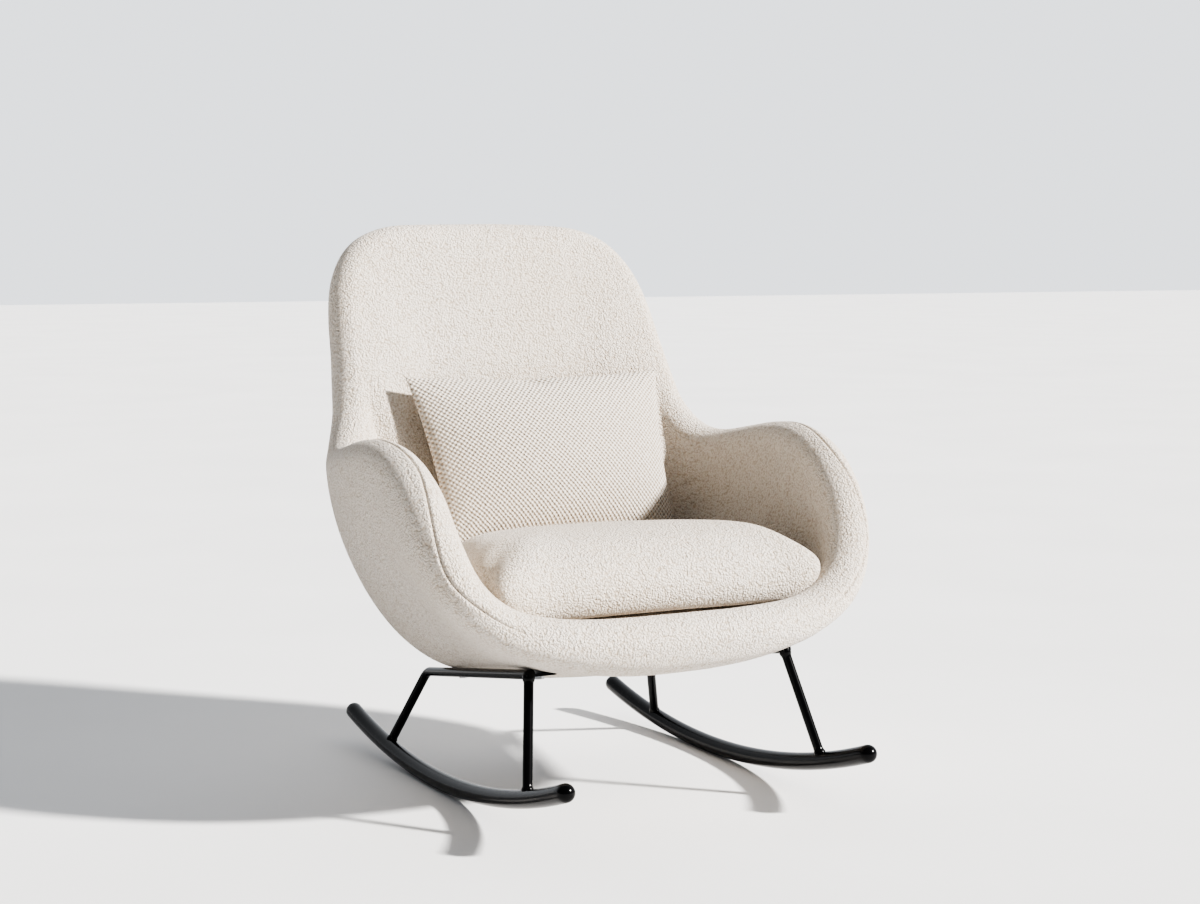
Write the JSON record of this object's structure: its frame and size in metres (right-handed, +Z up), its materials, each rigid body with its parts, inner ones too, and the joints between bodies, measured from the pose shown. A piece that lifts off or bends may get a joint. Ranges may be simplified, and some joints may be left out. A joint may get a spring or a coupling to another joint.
{
  "type": "upholstered rocking chair",
  "caption": "Rocking chair with a one-piece upholstered tub, a loose seat cushion and a lumbar pillow, carried by a round black metal frame on curved runners.",
  "frame": {"origin": "on the floor, midway between the two runners, on the line where they touch the floor at rest", "axes": "+Z up, -Y the way the sitter faces, +X to the sitter's left"},
  "size_m": [0.856, 0.9639, 0.9558],
  "materials": {
    "black_metal": "black powder coat, satin",
    "fastener_steel": "zinc plated",
    "plywood": "raw bent plywood",
    "boucle_cloth": "cream looped boucle over moulded foam",
    "deck_cloth": "plain cotton over foam",
    "dust_cloth": "thin black felt",
    "pillow_weave": "cream coarse basket weave"
  },
  "bodies": {
    "chair": {"runner_left": "black_metal", "runner_right": "black_metal", "rear_leg_and_rail_left": "black_metal", "rear_leg_and_rail_right": "black_metal", "front_leg_left": "black_metal", "front_leg_right": "black_metal", "mount_plate_rear_left": "black_metal", "mount_plate_rear_right": "black_metal", "mount_plate_front_left": "black_metal", "mount_plate_front_right": "black_metal", "plate_bolts": "fastener_steel", "bolt_washers": "fastener_steel", "spacer_sleeves": "fastener_steel", "tee_nuts": "fastener_steel", "bent_plywood_panel": "plywood", "moulded_tub": "boucle_cloth", "seat_deck_pad": "deck_cloth", "dust_cover": "dust_cloth"},
    "cushion": {"seat_cushion": "boucle_cloth"},
    "pillow": {"lumbar_pillow": "pillow_weave"}
  },
  "joints": [
    {"name": "cushion_lift", "type": "slide", "parent": "chair", "child": "cushion", "axis": [0, 0, 1], "range_m": [0, 0.3]},
    {"name": "pillow_lift", "type": "slide", "parent": "cushion", "child": "pillow", "axis": [0, 0, 1], "range_m": [0, 0.25]}
  ]
}
